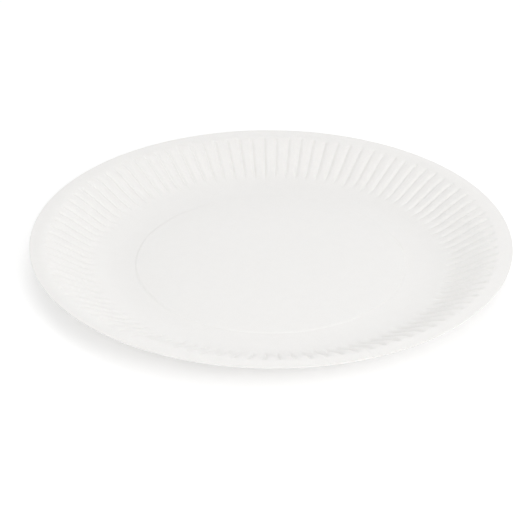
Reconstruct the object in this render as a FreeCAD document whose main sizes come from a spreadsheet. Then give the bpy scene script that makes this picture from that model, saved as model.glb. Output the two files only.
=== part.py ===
# Disposable paper plate, pressed from one round of paperboard.
#
# The board has one thickness everywhere. Its section runs from a slightly raised
# centre, down a small step to the flat ring that the plate stands on, up a curved wall
# and over a rounded shoulder to a narrow, almost level lip. Radial flutes are pressed
# into the wall: each is a groove with two straight flanks that comes up to nothing at
# both ends. The origin is the middle of the ring that the plate stands on.

import FreeCAD
import Part
import Sketcher

import math
import os

# Driving sizes, in millimetres and degrees
SIZES = (
    ("rim_radius", 115.0),
    ("rim_height", 15.3),
    ("board", 0.45),
    ("lip_width", 3.3),
    ("lip_slope", 3.0),
    ("shoulder_radius", 22.0),
    ("wall_slope", 31.0),
    ("wall_radius", 38.0),
    ("foot_width", 6.3),
    ("step_run", 0.9),
    ("centre_raise", 0.4),
    ("flute_count", 100),
    ("flute_inner_slope", 22.0),
    ("flute_outer_slope", 12.0),
    ("flute_depth", 0.6),
    ("groove_width", 2.8),
    ("ramp_share", 0.75),
)

AXIS = FreeCAD.Vector(0, 0, 1)
OUTWARD = FreeCAD.Vector(1, 0, 0)
ORIGIN = FreeCAD.Vector(0, 0, 0)
FULL_TURN = 360.0
QUARTER_TURN = 90.0

doc = FreeCAD.newDocument("paper_plate")
sheet = doc.addObject("Spreadsheet::Sheet", "sizes")
for row, (name, value) in enumerate(SIZES, start=1):
    sheet.set(f"A{row}", name)
    sheet.set(f"B{row}", str(value))
    sheet.setAlias(f"B{row}", name)
doc.recompute()

rim_radius = sheet.rim_radius
rim_height = sheet.rim_height
board = sheet.board
lip_width = sheet.lip_width
lip_slope = math.radians(sheet.lip_slope)
shoulder_radius = sheet.shoulder_radius
wall_slope = math.radians(sheet.wall_slope)
wall_radius = sheet.wall_radius
foot_width = sheet.foot_width
step_run = sheet.step_run
centre_raise = sheet.centre_raise
flute_count = int(sheet.flute_count)
inner_slope = math.radians(sheet.flute_inner_slope)
outer_slope = math.radians(sheet.flute_outer_slope)
flute_depth = sheet.flute_depth
groove_width = sheet.groove_width
ramp_share = sheet.ramp_share

# Sketch of the section: the upper face from the axis to the rim, first roughly in place
section = doc.addObject("Sketcher::SketchObject", "section")
section.Placement = FreeCAD.Placement(ORIGIN, FreeCAD.Rotation(OUTWARD, QUARTER_TURN))
START = 1
END = 2


def flat(radius, height):
    """A point of the sketch, whose second axis points up."""
    return FreeCAD.Vector(radius, height, 0)


def sketched_line(start, end):
    return section.addGeometry(Part.LineSegment(start, end))


def sketched_arc(centre, radius, start, end):
    return section.addGeometry(Part.ArcOfCircle(Part.Circle(centre, AXIS, radius), start, end))


right_angle = math.radians(QUARTER_TURN)
lip_edge = flat(rim_radius - lip_width, rim_height)
wall_run = rim_height / math.tan(wall_slope)
arcs_run = (wall_radius + shoulder_radius) * math.tan(wall_slope / 2)
foot_edge = flat(lip_edge.x - wall_run - arcs_run, board)
step_edge = foot_edge - flat(foot_width, 0)
centre_edge = step_edge + flat(-step_run, centre_raise)

centre = sketched_line(flat(0, centre_edge.y), centre_edge)
step = sketched_line(centre_edge, step_edge)
foot = sketched_line(step_edge, foot_edge)
wall_arc = sketched_arc(
    foot_edge + flat(0, wall_radius), wall_radius, -right_angle, wall_slope - right_angle
)
wall = sketched_line(foot_edge, lip_edge)
shoulder = sketched_arc(
    lip_edge - flat(0, shoulder_radius),
    shoulder_radius,
    right_angle + lip_slope,
    right_angle + wall_slope,
)
lip = sketched_line(lip_edge, flat(rim_radius, rim_height))

# The centre starts on the axis. An arc runs counter-clockwise, so the shoulder's starts at the lip
for kind, *places in (
    ("DistanceX", centre, START, 0.0),
    ("Horizontal", centre),
    ("Horizontal", foot),
    ("Coincident", centre, END, step, START),
    ("Coincident", step, END, foot, START),
    ("Tangent", foot, END, wall_arc, START),
    ("Tangent", wall_arc, END, wall, START),
    ("Tangent", wall, END, shoulder, END),
    ("Tangent", shoulder, START, lip, START),
):
    section.addConstraint(Sketcher.Constraint(kind, *places))

for kind, places, value, cell in (
    ("DistanceX", (lip, END), rim_radius, "sizes.rim_radius"),
    ("DistanceY", (lip, END), rim_height, "sizes.rim_height"),
    ("DistanceX", (lip, START, lip, END), lip_width, "sizes.lip_width"),
    ("Angle", (lip,), lip_slope, "sizes.lip_slope * 1 deg"),
    ("Radius", (shoulder,), shoulder_radius, "sizes.shoulder_radius"),
    ("Angle", (wall,), wall_slope, "sizes.wall_slope * 1 deg"),
    ("Radius", (wall_arc,), wall_radius, "sizes.wall_radius"),
    ("DistanceY", (foot, END), board, "sizes.board"),
    ("DistanceX", (foot, START, foot, END), foot_width, "sizes.foot_width"),
    ("DistanceX", (step, START, step, END), step_run, "sizes.step_run"),
    ("DistanceY", (step, END, step, START), centre_raise, "sizes.centre_raise"),
):
    index = section.addConstraint(Sketcher.Constraint(kind, *places, value))
    section.setExpression(f"Constraints[{index}]", cell)
doc.recompute()
if not section.FullyConstrained:
    raise RuntimeError("the section is not fully constrained")


def point(radius, height):
    return FreeCAD.Vector(radius, 0, height)


def into_board(slope):
    """The direction from the upper face to the lower one where the section has this slope."""
    return point(math.sin(slope), -math.cos(slope))


def from_section(place):
    """A point of the sketch, carried to the upright plane of the section."""
    return section.Placement.multVec(place)


foot_centre = from_section(section.Geometry[wall_arc].Center)
shoulder_centre = from_section(section.Geometry[shoulder].Center)
step_top = from_section(section.Geometry[step].StartPoint)
step_foot = from_section(section.Geometry[step].EndPoint)
pitch = FULL_TURN / flute_count
flank_slope = math.atan(2 * flute_depth / groove_width)


def on_foot_arc(slope, depth):
    return foot_centre + into_board(slope) * (wall_radius + depth)


def on_shoulder(slope, depth):
    return shoulder_centre - into_board(slope) * (shoulder_radius - depth)


def rim_point(depth):
    return point(rim_radius, rim_height - depth / math.cos(lip_slope))


def turned(place, angle):
    """A point of the section, carried about the plate's axis by this many degrees."""
    return FreeCAD.Rotation(AXIS, angle).multVec(place)


def line(start, end):
    return Part.LineSegment(start, end).toShape()


def arc(start, middle, end):
    return Part.Arc(start, middle, end).toShape()


def middle_faces(depth):
    """The raised centre, its step and the ring that the plate stands on."""
    top = step_top - AXIS * depth
    bottom = step_foot - AXIS * depth
    wall_start = on_foot_arc(0, depth)
    corners = [turned(wall_start, (side - 0.5) * pitch) for side in range(flute_count + 1)]
    middle = Part.Face(Part.Wire(Part.makeCircle(top.x, point(0, top.z))))
    inside_ring = Part.Face(Part.Wire(Part.makeCircle(bottom.x, point(0, bottom.z))))
    ring = Part.Face(Part.makePolygon(corners)).cut(inside_ring)
    return [middle, line(top, bottom).revolve(ORIGIN, AXIS, FULL_TURN)] + ring.Faces


def rim_edge():
    """The cut edge of the board, from the lip's upper face to its lower face."""
    return line(rim_point(0), rim_point(board)).revolve(ORIGIN, AXIS, FULL_TURN)


def smooth_faces(depth):
    """One panel's plain wall inside the flutes, plain shoulder outside them, and lip."""
    curves = []
    for angle in (-pitch / 2, pitch / 2):
        wall = [on_foot_arc(slope, depth) for slope in (0, inner_slope / 2, inner_slope)]
        slopes = (outer_slope, (outer_slope + lip_slope) / 2, lip_slope)
        shoulder = [on_shoulder(slope, depth) for slope in slopes]
        curves.append([arc(*[turned(p, angle) for p in places]) for places in (wall, shoulder)])
    faces = [Part.makeRuledSurface(left, right) for left, right in zip(*curves)]
    lip_start = on_shoulder(lip_slope, depth)
    inner = line(turned(lip_start, -pitch / 2), turned(lip_start, pitch / 2))
    outer = arc(*[turned(rim_point(depth), angle) for angle in (-pitch / 2, 0, pitch / 2)])
    return faces + [Part.makeRuledSurface(inner, outer)]


def flute_stations(depth):
    """Places of the section along a flute, each with its share of the groove's depth."""
    ramp_slope = (outer_slope + wall_slope) / 2
    return (
        (on_foot_arc(inner_slope, depth), 0.0),
        (on_foot_arc(wall_slope, depth), 1.0),
        (on_shoulder(wall_slope, depth), 1.0),
        (on_shoulder(ramp_slope, depth), ramp_share),
        (on_shoulder(outer_slope, depth), 0.0),
    )


def across_panel(place, share, depth):
    """Four points across a panel: a groove's bottom, two corners of the land, a bottom."""
    half_width = groove_width / 2 + depth * math.tan(flank_slope / 2)
    drop = AXIS * (share * half_width * math.tan(flank_slope) / math.cos(wall_slope))
    left = turned(place, -pitch / 2)
    right = turned(place, pitch / 2)
    side = (right - left).normalize() * half_width
    return (left - drop, left + side, right - side, right - drop)


def facet(*corners):
    return Part.Face(Part.makePolygon(corners + corners[:1]))


def fluted_faces(depth):
    """One panel's two groove flanks and the land between them, station by station.

    A flank is two facets, folded so that the groove ends in a point at both its ends.
    """
    rows = [across_panel(place, share, depth) for place, share in flute_stations(depth)]
    faces = []
    for inner, outer in zip(rows, rows[1:]):
        faces.append(facet(inner[1], outer[1], outer[2], inner[2]))
        for bottom, corner in ((0, 1), (3, 2)):
            faces.append(facet(inner[bottom], outer[bottom], outer[corner]))
            faces.append(facet(inner[bottom], outer[corner], inner[corner]))
    return faces


def face_of_board(depth):
    """The whole face of the board, this deep below the upper face."""
    faces = middle_faces(depth)
    for panel in smooth_faces(depth) + fluted_faces(depth):
        for index in range(flute_count):
            copy = panel.copy()
            copy.rotate(ORIGIN, AXIS, index * pitch)
            faces.append(copy)
    return faces


skin = Part.makeCompound(face_of_board(0) + [rim_edge()] + face_of_board(board))
skin.sewShape()
solid = Part.makeSolid(skin.Shells[0])
if solid.Volume < 0:
    solid.reverse()

plate = doc.addObject("Part::Feature", "plate")
plate.Label = "plate"
plate.Shape = solid
doc.recompute()

for item in doc.Objects:
    if "Invalid" in item.State or "Error" in item.State:
        raise RuntimeError(f"{item.Label} did not compute: {item.State}")
if plate.Shape.isNull() or not plate.Shape.isValid() or len(plate.Shape.Solids) != 1:
    raise RuntimeError("the plate is not one valid solid")

os.makedirs("parts", exist_ok=True)
plate.Shape.exportStep(os.path.join("parts", f"{plate.Label}.step"))
print("plate volume", round(plate.Shape.Volume), "box", plate.Shape.BoundBox)
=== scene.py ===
import math

import bpy
import numpy as np
from mathutils import Matrix, Vector


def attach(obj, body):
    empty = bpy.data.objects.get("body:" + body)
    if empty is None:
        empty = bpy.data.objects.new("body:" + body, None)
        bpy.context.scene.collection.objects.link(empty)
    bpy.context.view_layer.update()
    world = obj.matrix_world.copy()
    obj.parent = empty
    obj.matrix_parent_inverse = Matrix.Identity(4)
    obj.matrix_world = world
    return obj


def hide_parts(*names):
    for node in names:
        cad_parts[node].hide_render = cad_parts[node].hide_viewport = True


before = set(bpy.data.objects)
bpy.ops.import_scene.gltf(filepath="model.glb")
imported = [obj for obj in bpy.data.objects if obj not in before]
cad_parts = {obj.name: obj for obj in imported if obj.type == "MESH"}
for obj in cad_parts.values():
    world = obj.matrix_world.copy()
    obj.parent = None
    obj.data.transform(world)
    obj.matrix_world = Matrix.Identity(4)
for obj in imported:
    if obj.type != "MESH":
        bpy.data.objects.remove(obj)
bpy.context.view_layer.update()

MM = 0.001
FULL_TURN = 360.0
HALF_TURN = 180.0
WHITE = (1.0, 1.0, 1.0, 1.0)

# The section, in millimetres and radians. It is the source's, apart from the centre's and
# the foot's radius, which the source works out from its other sizes and which are rounded
# here: they and the shoulder lie less than 0.1 mm further out
RIM_RADIUS = 115.0
RIM_HEIGHT = 15.3
BOARD = 0.45
CENTRE_RADIUS = 64.6
CENTRE_RAISE = 0.4
STEP_RUN = 0.9
FOOT_RADIUS = 71.8
WALL_RADIUS = 38.0
WALL_SLOPE = math.radians(31.0)
SHOULDER_RADIUS = 22.0
LIP_SLOPE = math.radians(3.0)

# What is softer here than in the source: the step begins sooner, by this share of its run,
# and is this many times as wide, and the cut edge is rounded by this many millimetres
STEP_LEAD = 0.2
STEP_WIDENING = 1.4
EDGE_ROUNDING = 0.07

# The flutes, in millimetres and degrees. Their count and width are the source's, and they
# are deeper and a little longer than there
FLUTE_COUNT = 100
FLUTE_INNER = 83.5
FLUTE_OUTER = 108.6
FLUTE_DEPTH = 0.9
GROOVE_WIDTH = 2.8
PITCH = FULL_TURN / FLUTE_COUNT

# A groove starts at this share of its width and comes to the whole of it over this length
NARROW_SHARE = 0.45
NARROW_LENGTH = 6.0

# A groove begins this far inside its inner radius, deepens over this length, and fades over
# this length before its outer radius
RUN_IN_LEAD = 1.0
RUN_IN_LENGTH = 6.0
RUN_OUT_LENGTH = 2.6

# The share of a flute's depth that is spread over its whole pitch, so that lands are round
CROWN_SHARE = 0.35

# The flutes' small irregularities: the seed of their draws, then how far at most they stray
# in depth, as a share of it, in angle, in degrees, and at both ends, in millimetres
SEED = 11
DEPTH_SPREAD = 0.06
ANGLE_SPREAD = 0.05
INNER_END_SPREAD = 0.7
OUTER_END_SPREAD = 0.35

# Fine creases where the board was gathered: angle in degrees, and in millimetres the depth
# and the inner and outer radius
CREASES = (
    (52.0, 0.05, 90.0, 114.0),
    (62.5, 0.12, 84.0, 112.0),
    (82.0, 0.05, 92.0, 114.0),
    (91.5, 0.05, 92.0, 114.0),
    (122.0, 0.08, 84.0, 110.0),
    (132.0, 0.14, 100.0, 115.0),
    (142.5, 0.07, 92.0, 114.0),
    (152.7, 0.06, 92.0, 115.0),
    (192.0, 0.08, 90.0, 114.0),
    (202.0, 0.07, 90.0, 114.0),
    (211.0, 0.07, 90.0, 114.0),
    (251.5, 0.08, 90.0, 114.0),
    (262.0, 0.08, 90.0, 114.0),
    (282.0, 0.10, 88.0, 115.0),
    (292.0, 0.16, 88.0, 115.0),
    (352.0, 0.08, 88.0, 114.0),
)
CREASE_HALF_WIDTH = 0.4

# A crease comes in over the first length, and goes out over the second past its outer radius
CREASE_RUN_IN = 4.0
CREASE_RUN_OUT = 1.5

# The mesh's rows, in millimetres, degrees and shares: the innermost ring's radius, the count
# of rows over the step, the flat's last row before the foot's arc, slopes along that arc,
# places along the straight wall, slopes along the shoulder, and the lip's row before the rim
MIDDLE_ROW = 40.0
STEP_ROWS = 9
FOOT_LEAD = 3.0
FOOT_SLOPES = (0, 4, 8, 12, 15, 17, 19, 21, 23, 25, 28)
WALL_SHARES = (0.0, 0.33, 0.67)
SHOULDER_SLOPES = (31, 27, 23, 20, 17.5, 16, 14.5, 13, 11.5, 10, 7, 3)
LIP_LEAD = 0.35

# The mesh's columns: shares of a flute's pitch from the flute's middle, and half widths of a
# crease from the crease's line. One in COARSE_STEP of the first goes on to the plate's middle
FLUTE_COLUMNS = (
    -0.33, -0.24, -0.19, -0.14, -0.095, -0.05, 0.0, 0.05, 0.095, 0.14, 0.19, 0.24, 0.33, 0.5
)
CREASE_COLUMNS = (-1.0, -0.5, 0.0, 0.5, 1.0)
COARSE_STEP = 5

# The least angles, in degrees, from a flute's column to a crease's, and from a crease's
# column to one that goes on to the plate's middle
CREASE_GAP = 0.08
SHARED_GAP = 0.04

# The paper's grain, as noises: the scale of each per metre, its detail, and the fibres'
# distortion
MOTTLE_SCALE = 220.0
MOTTLE_DETAIL = 2.0
FIBRE_SCALE = 2600.0
FIBRE_DETAIL = 4.0
FIBRE_DISTORTION = 0.6
WAVE_SCALE = 45.0
WAVE_DETAIL = 1.0

# The usual range of a noise's values
NOISE_LOW = 0.3
NOISE_HIGH = 0.7

# The paper's two colours, the shares of fibres and mottle in the mix of them, and its range
# of roughness and its gloss
PAPER_DARK = (0.843, 0.834, 0.820, 1.0)
PAPER_LIGHT = (0.892, 0.883, 0.869, 1.0)
FIBRE_SHARE = 0.84
MOTTLE_SHARE = 0.16
LEAST_ROUGH = 0.38
MOST_ROUGH = 0.5
PAPER_SPECULAR = 0.5

# How far light scatters in the paper, alike for all colours: the scale is in metres
SCATTER_WEIGHT = 1.0
SCATTER_RADIUS = (1.0, 1.0, 1.0)
SCATTER_SCALE = 0.00022

# The strength and the height, in metres, of the paper's two bumps
WAVE_BUMP = (0.06, 0.00012)
FIBRE_BUMP = (0.12, 0.00003)

# Painted shade at the cut edge, darkening its colour where the edge catches the lights: the
# radii, in metres, where it begins and is full, its shade, and what keeps the level part of a
# position
PAINTED_SHADE_START = (RIM_RADIUS - 0.3) * MM
PAINTED_SHADE_END = (RIM_RADIUS - 0.02) * MM
EDGE_PAINTED_SHADE = (0.92, 0.92, 0.92, 1.0)
LEVEL_PART = (1.0, 1.0, 0.0)

# Numbers of a Mix node's sockets for colours, because their names repeat
MIX_SHARE = 0
MIX_FIRST = 6
MIX_SECOND = 7
MIX_RESULT = 2

# The ground, in metres: a hair below the ring that the plate stands on, and how it looks
FLOOR_HALF = 4.0
FLOOR_LEVEL = -0.00002
FLOOR_COLOUR = (0.97, 0.97, 0.97, 1.0)
FLOOR_ROUGHNESS = 0.9
FLOOR_GLOW = 0.151

# Light: an even white surround, a light overhead, two in front and a low one behind. Each
# has its name, azimuth and elevation in degrees, distance and size in metres, and watts
WORLD_STRENGTH = 0.705
LIGHTS = (
    ("light_overhead", 0.0, 89.0, 1.2, 0.8, 2.1),
    ("light_front", 286.0, 40.0, 0.7, 0.5, 0.83),
    ("light_low_front", 305.0, 25.0, 1.0, 0.5, 1.13),
    ("light_low_back", 80.0, 14.0, 1.2, 0.8, 1.2),
)

# The camera, at the photograph's angle: lens and sensor in millimetres, in metres the
# distance to the point that it aims at, its elevation and roll in radians, and in metres how
# far that point is from the middle of the rim
LENS = 112.43
SENSOR = 36.0
DISTANCE = 0.77855
ELEVATION = math.radians(30.08)
ROLL = math.radians(0.17)
SHIFT_RIGHT = -0.00518
SHIFT_UP = -0.01261


def into_board(slope):
    """Outward and upward parts of the direction from the upper face to the lower one."""
    return math.sin(slope), -math.cos(slope)


def foot_arc(slope):
    """The row where the arc from the foot to the wall has this slope."""
    outward, upward = into_board(slope)
    radius = FOOT_RADIUS + outward * WALL_RADIUS
    return radius, BOARD + WALL_RADIUS + upward * WALL_RADIUS, slope


def shoulder_centre():
    """The point below the wall's line and the lip's, at the shoulder's radius from both."""
    reach = WALL_RADIUS + SHOULDER_RADIUS
    outward, upward = into_board(WALL_SLOPE)
    wall_x = FOOT_RADIUS + outward * reach
    wall_z = BOARD + WALL_RADIUS + upward * reach
    outward, upward = into_board(LIP_SLOPE)
    lip_x = RIM_RADIUS + outward * SHOULDER_RADIUS
    lip_z = RIM_HEIGHT + upward * SHOULDER_RADIUS
    wall_rise = math.tan(WALL_SLOPE)
    lip_rise = math.tan(LIP_SLOPE)
    x = (lip_z - wall_z + wall_rise * wall_x - lip_rise * lip_x) / (wall_rise - lip_rise)
    return x, wall_z + wall_rise * (x - wall_x)


def shoulder_arc(slope):
    """The row where the shoulder has this slope."""
    x, z = shoulder_centre()
    outward, upward = into_board(slope)
    return x - outward * SHOULDER_RADIUS, z - upward * SHOULDER_RADIUS, slope


def middle_rows():
    """Rows of the raised centre, its step and the foot: radius, height and slope."""
    rows = [(MIDDLE_ROW, BOARD + CENTRE_RAISE, 0.0)]
    step_start = CENTRE_RADIUS - STEP_LEAD * STEP_RUN
    step_width = STEP_WIDENING * STEP_RUN
    for share in np.linspace(0.0, 1.0, STEP_ROWS):
        height = BOARD + CENTRE_RAISE * (1 + math.cos(math.pi * share)) / 2
        rise = -CENTRE_RAISE * math.pi / 2 * math.sin(math.pi * share) / step_width
        rows.append((step_start + step_width * share, height, math.atan(rise)))
    rows.append((FOOT_RADIUS - FOOT_LEAD, BOARD, 0.0))
    return rows


def outer_rows():
    """Rows of the wall, the shoulder and the lip: radius, height and slope."""
    rows = [foot_arc(slope) for slope in np.radians(FOOT_SLOPES)]
    wall_start = foot_arc(WALL_SLOPE)
    wall_top = shoulder_arc(WALL_SLOPE)
    for share in WALL_SHARES:
        radius = wall_start[0] + (wall_top[0] - wall_start[0]) * share
        height = wall_start[1] + (wall_top[1] - wall_start[1]) * share
        rows.append((radius, height, WALL_SLOPE))
    rows += [shoulder_arc(slope) for slope in np.radians(SHOULDER_SLOPES)]
    for radius in (RIM_RADIUS - LIP_LEAD, RIM_RADIUS - EDGE_ROUNDING):
        height = RIM_HEIGHT - (RIM_RADIUS - radius) * math.tan(LIP_SLOPE)
        rows.append((radius, height, LIP_SLOPE))
    return rows


def smooth(share):
    """Rises from 0 to 1 as the share does, and is level at both ends and beyond them."""
    share = np.clip(share, 0.0, 1.0)
    return share * share * (3 - 2 * share)


def trough(share):
    """Falls from 1 to 0 in half a cosine wave as the share rises from 0 to 1."""
    return 0.5 + 0.5 * np.cos(np.pi * np.clip(share, 0.0, 1.0))


def angle_between(angles, others):
    """The angle between two directions, in degrees, the shorter way round."""
    return np.abs((angles - others + HALF_TURN) % FULL_TURN - HALF_TURN)


def column_angles():
    """Angles of the mesh's columns, in degrees, and which of them the middle shares."""
    base = [
        (index + share + 0.5) * PITCH
        for index in range(FLUTE_COUNT)
        for share in FLUTE_COLUMNS
    ]
    extra = []
    for angle, _, _, outer in CREASES:
        width = math.degrees(CREASE_HALF_WIDTH / outer)
        extra += [angle + width * share for share in CREASE_COLUMNS]
    kept = []
    for index, angle in enumerate(base):
        is_shared = index % COARSE_STEP == 0
        if is_shared or min(abs(angle - other) for other in extra) > CREASE_GAP:
            kept.append((angle, is_shared))
    shared = [angle for angle, is_shared in kept if is_shared]
    for angle in extra:
        if min(abs(angle - other) for other in shared) > SHARED_GAP:
            kept.append((angle, False))
    kept.sort()
    return np.array([angle for angle, _ in kept]), [is_shared for _, is_shared in kept]


def press_depth(angles, radii):
    """How deep the flutes and creases are pressed at each row and column."""
    draw = np.random.default_rng(SEED)
    strength = 1 + DEPTH_SPREAD * draw.uniform(-1, 1, FLUTE_COUNT + 1)
    shift = ANGLE_SPREAD * draw.uniform(-1, 1, FLUTE_COUNT + 1)
    inner = FLUTE_INNER + INNER_END_SPREAD * draw.uniform(-1, 1, FLUTE_COUNT + 1)
    outer = FLUTE_OUTER + OUTER_END_SPREAD * draw.uniform(-1, 1, FLUTE_COUNT + 1)
    index = np.floor(angles / PITCH).astype(int) % FLUTE_COUNT
    offset = angle_between(angles, (index + 0.5) * PITCH + shift[index])
    radius = radii[:, None]
    across = np.radians(offset)[None, :] * radius
    start = inner[index][None, :]
    end = outer[index][None, :]
    widened = smooth((radius - start) / NARROW_LENGTH)
    flank = GROOVE_WIDTH / 2 * (NARROW_SHARE + (1 - NARROW_SHARE) * widened)
    groove = trough(across / flank)
    crown = trough(2 * offset / PITCH)[None, :]
    run_in = smooth((radius - start + RUN_IN_LEAD) / RUN_IN_LENGTH)
    run_out = smooth((end - radius) / RUN_OUT_LENGTH)
    profile = (1 - CROWN_SHARE) * groove + CROWN_SHARE * crown
    depth = FLUTE_DEPTH * strength[index][None, :] * profile * run_in * run_out
    for angle, crease_depth, first, last in CREASES:
        away = np.radians(angle_between(angles, angle))[None, :] * radius
        fold = np.clip(1 - away / CREASE_HALF_WIDTH, 0.0, 1.0)
        fade_in = smooth((radius - first) / CREASE_RUN_IN)
        fade_out = smooth((last - radius) / CREASE_RUN_OUT + 1.0)
        depth = depth + crease_depth * fold * (fade_in * fade_out)
    return depth


def ring_points(rows, angles, depth):
    """Rings of points for section rows, pressed in by depth along the board's normal."""
    turn = np.radians(angles)
    rings = []
    for (radius, height, slope), pressed in zip(rows, depth):
        outward, upward = into_board(slope)
        reach = radius + outward * pressed
        level = height + upward * pressed
        rings.append(np.column_stack((reach * np.cos(turn), reach * np.sin(turn), level)))
    return rings


def face_rings(below, angles, shared):
    """The rings of one face of the board, this far below the upper face."""
    coarse = middle_rows()
    fine = outer_rows()
    few = angles[np.array(shared)]
    flat = np.full((len(coarse), len(few)), below)
    pressed = press_depth(angles, np.array([row[0] for row in fine])) + below
    return ring_points(coarse, few, flat) + ring_points(fine, angles, pressed)


def strip(inner, outer, count):
    """Faces between two rings of the same columns, given by their first points."""
    faces = []
    for index in range(count):
        after = (index + 1) % count
        faces.append((inner + index, outer + index, outer + after, inner + after))
    return faces


def widening(inner, outer, outer_count, columns):
    """Faces from a coarse ring to a fine one, whose shared columns are listed."""
    faces = []
    for index, left in enumerate(columns):
        after = (index + 1) % len(columns)
        right = columns[after]
        if right <= left:
            right += outer_count
        run = [outer + i % outer_count for i in range(left, right + 1)]
        faces.append((inner + after, inner + index, *run))
    return faces


def face_of_board(centre, starts, columns):
    """Faces from the middle point outwards, by each ring's first point and its count."""
    first, count = starts[0]
    faces = [(centre, first + index, first + (index + 1) % count) for index in range(count)]
    for (inner, count), (outer, outer_count) in zip(starts, starts[1:]):
        if count == outer_count:
            faces += strip(inner, outer, count)
        else:
            faces += widening(inner, outer, outer_count, columns)
    return faces


def plate_mesh():
    """The board's upper and lower faces, and its cut edge, which has two rings of its own."""
    angles, shared = column_angles()
    columns = [index for index, is_shared in enumerate(shared) if is_shared]
    points = []
    sides = []
    for below in (0.0, BOARD):
        centre = len(points)
        points.append((0.0, 0.0, BOARD + CENTRE_RAISE - below))
        starts = []
        for ring in face_rings(below, angles, shared):
            starts.append((len(points), len(ring)))
            points.extend(map(tuple, ring))
        sides.append((centre, starts))
    (upper_centre, upper_starts), (lower_centre, lower_starts) = sides
    faces = face_of_board(upper_centre, upper_starts, columns)
    faces += [face[::-1] for face in face_of_board(lower_centre, lower_starts, columns)]

    turn = np.radians(angles)
    edge = [upper_starts[-1][0]]
    for height in (RIM_HEIGHT - EDGE_ROUNDING, RIM_HEIGHT - BOARD + EDGE_ROUNDING):
        edge.append(len(points))
        level = np.full(len(angles), height)
        ring = np.column_stack((RIM_RADIUS * np.cos(turn), RIM_RADIUS * np.sin(turn), level))
        points.extend(map(tuple, ring))
    edge.append(lower_starts[-1][0])
    for upper, lower in zip(edge, edge[1:]):
        faces += strip(upper, lower, len(angles))

    mesh = bpy.data.meshes.new("plate_board")
    mesh.from_pydata([tuple(c * MM for c in point) for point in points], [], faces)
    mesh.shade_smooth()
    mesh.update()
    return mesh


def place(name, data):
    """A new object in the scene, for this mesh, lamp or camera."""
    thing = bpy.data.objects.new(name, data)
    bpy.context.scene.collection.objects.link(thing)
    return thing


def set_inputs(node, values):
    """Sets a node's sockets by their names, with an underscore for each space."""
    for name, value in values.items():
        node.inputs[name.replace("_", " ")].default_value = value


class Shader:
    """A material's nodes, added one at a time."""

    def __init__(self, name, **values):
        self.material = bpy.data.materials.new(name)
        self.material.use_nodes = True
        self.tree = self.material.node_tree
        self.surface = self.tree.nodes["Principled BSDF"]
        set_inputs(self.surface, values)
        self.position = self.node("ShaderNodeTexCoord").outputs["Object"]

    def node(self, kind, **values):
        added = self.tree.nodes.new(kind)
        set_inputs(added, values)
        return added

    def join(self, output, target):
        self.tree.links.new(output, target)

    def noise(self, per_metre, detail, distortion=0.0):
        added = self.node(
            "ShaderNodeTexNoise", Scale=per_metre, Detail=detail, Distortion=distortion
        )
        self.join(self.position, added.inputs["Vector"])
        return added.outputs["Fac"]

    def mapped(self, value, low, high):
        """Spreads a noise's usual range over the range from low to high."""
        added = self.node(
            "ShaderNodeMapRange",
            From_Min=NOISE_LOW,
            From_Max=NOISE_HIGH,
            To_Min=low,
            To_Max=high,
        )
        self.join(value, added.inputs["Value"])
        return added.outputs["Result"]

    def total(self, first, second):
        added = self.node("ShaderNodeMath")
        added.operation = "ADD"
        self.join(first, added.inputs[0])
        self.join(second, added.inputs[1])
        return added.outputs["Value"]

    def clouded(self, share, dark, light):
        """A colour from the dark one, at share 0, to the light one."""
        added = self.node("ShaderNodeMix")
        added.data_type = "RGBA"
        added.inputs[MIX_FIRST].default_value = dark
        added.inputs[MIX_SECOND].default_value = light
        self.join(share, added.inputs[MIX_SHARE])
        return added.outputs[MIX_RESULT]

    def from_axis(self):
        """The distance from the plate's axis, in metres."""
        level = self.node("ShaderNodeVectorMath")
        level.operation = "MULTIPLY"
        level.inputs[1].default_value = LEVEL_PART
        self.join(self.position, level.inputs[0])
        radius = self.node("ShaderNodeVectorMath")
        radius.operation = "LENGTH"
        self.join(level.outputs["Vector"], radius.inputs[0])
        return radius.outputs["Value"]

    def painted_edge_shade(self, colour):
        """The colour with painted shade at the cut edge, to dim the light that it catches."""
        share = self.node("ShaderNodeMapRange", From_Min=PAINTED_SHADE_START, From_Max=PAINTED_SHADE_END)
        self.join(self.from_axis(), share.inputs["Value"])
        added = self.node("ShaderNodeMix")
        added.data_type = "RGBA"
        added.blend_type = "MULTIPLY"
        added.inputs[MIX_SECOND].default_value = EDGE_PAINTED_SHADE
        self.join(share.outputs["Result"], added.inputs[MIX_SHARE])
        self.join(colour, added.inputs[MIX_FIRST])
        return added.outputs[MIX_RESULT]

    def bump(self, value, strength, height, below=None):
        """A bumped normal, on top of the one below where that is given."""
        added = self.node("ShaderNodeBump", Strength=strength, Distance=height)
        self.join(value, added.inputs["Height"])
        if below is not None:
            self.join(below, added.inputs["Normal"])
        return added.outputs["Normal"]


def paper():
    """White paperboard, with fibres, mottle and faint waves, and light scattered in it."""
    shader = Shader(
        "white_paperboard",
        Specular_IOR_Level=PAPER_SPECULAR,
        Subsurface_Weight=SCATTER_WEIGHT,
        Subsurface_Radius=SCATTER_RADIUS,
        Subsurface_Scale=SCATTER_SCALE,
    )
    mottle = shader.noise(MOTTLE_SCALE, MOTTLE_DETAIL)
    fibre = shader.noise(FIBRE_SCALE, FIBRE_DETAIL, FIBRE_DISTORTION)
    waves = shader.noise(WAVE_SCALE, WAVE_DETAIL)
    grain = shader.total(
        shader.mapped(fibre, 0.0, FIBRE_SHARE), shader.mapped(mottle, 0.0, MOTTLE_SHARE)
    )
    # The paper's colour, with painted shade at its cut edge
    colour = shader.painted_edge_shade(shader.clouded(grain, PAPER_DARK, PAPER_LIGHT))
    roughness = shader.mapped(fibre, LEAST_ROUGH, MOST_ROUGH)
    wavy = shader.bump(waves, *WAVE_BUMP)
    normal = shader.bump(fibre, *FIBRE_BUMP, below=wavy)
    shader.join(colour, shader.surface.inputs["Base Color"])
    shader.join(roughness, shader.surface.inputs["Roughness"])
    shader.join(normal, shader.surface.inputs["Normal"])
    return shader.material


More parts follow.
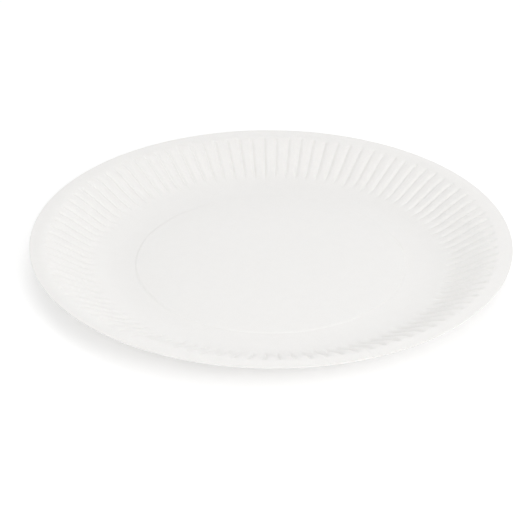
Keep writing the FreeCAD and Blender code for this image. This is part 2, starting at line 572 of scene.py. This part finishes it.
def ground():
    """A dull white ground that glows a little, so that it shows as even white."""
    shader = Shader(
        "white_ground",
        Base_Color=FLOOR_COLOUR,
        Roughness=FLOOR_ROUGHNESS,
        Specular_IOR_Level=0.0,
        Emission_Color=WHITE,
        Emission_Strength=FLOOR_GLOW,
    )
    return shader.material


def soft_light(name, azimuth, elevation, distance, size, power):
    """A square area light that faces the plate, at this azimuth from the plate's right."""
    lamp = bpy.data.lights.new(name, "AREA")
    lamp.size = size
    lamp.energy = power
    turn = math.radians(azimuth)
    rise = math.radians(elevation)
    way = Vector(
        (math.cos(turn) * math.cos(rise), math.sin(turn) * math.cos(rise), math.sin(rise))
    )
    thing = place(name, lamp)
    thing.location = way * distance
    thing.rotation_euler = way.to_track_quat("Z", "Y").to_euler()


# The plate, one piece, in place of the plain CAD solid
plate = place("paper_plate", plate_mesh())
plate.data.materials.append(paper())
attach(plate, "root")
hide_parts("plate")

# The ground under it
floor_mesh = bpy.data.meshes.new("floor")
floor_corners = [
    (x * FLOOR_HALF, y * FLOOR_HALF, FLOOR_LEVEL)
    for x, y in ((-1, -1), (1, -1), (1, 1), (-1, 1))
]
floor_mesh.from_pydata(floor_corners, [], [(0, 1, 2, 3)])
floor = place("floor", floor_mesh)
floor.data.materials.append(ground())

# The even surround and the soft lights
world = bpy.data.worlds.new("white_surround")
bpy.context.scene.world = world
world.use_nodes = True
set_inputs(world.node_tree.nodes["Background"], {"Color": WHITE, "Strength": WORLD_STRENGTH})
for light in LIGHTS:
    soft_light(*light)

# The camera
back = Vector((0.0, -math.cos(ELEVATION), math.sin(ELEVATION)))
level_right = Vector((1.0, 0.0, 0.0))
level_up = back.cross(level_right)
right = level_right * math.cos(ROLL) + level_up * math.sin(ROLL)
up = level_up * math.cos(ROLL) - level_right * math.sin(ROLL)
aim = Vector((0.0, 0.0, RIM_HEIGHT * MM)) + right * SHIFT_RIGHT + up * SHIFT_UP
lens = bpy.data.cameras.new("camera")
lens.sensor_width = SENSOR
lens.lens = LENS
camera = place("camera", lens)
facing = Matrix((right, up, back)).transposed().to_4x4()
camera.matrix_world = Matrix.Translation(aim + back * DISTANCE) @ facing
bpy.context.scene.camera = camera

bpy.context.scene.view_settings.view_transform = "Standard"
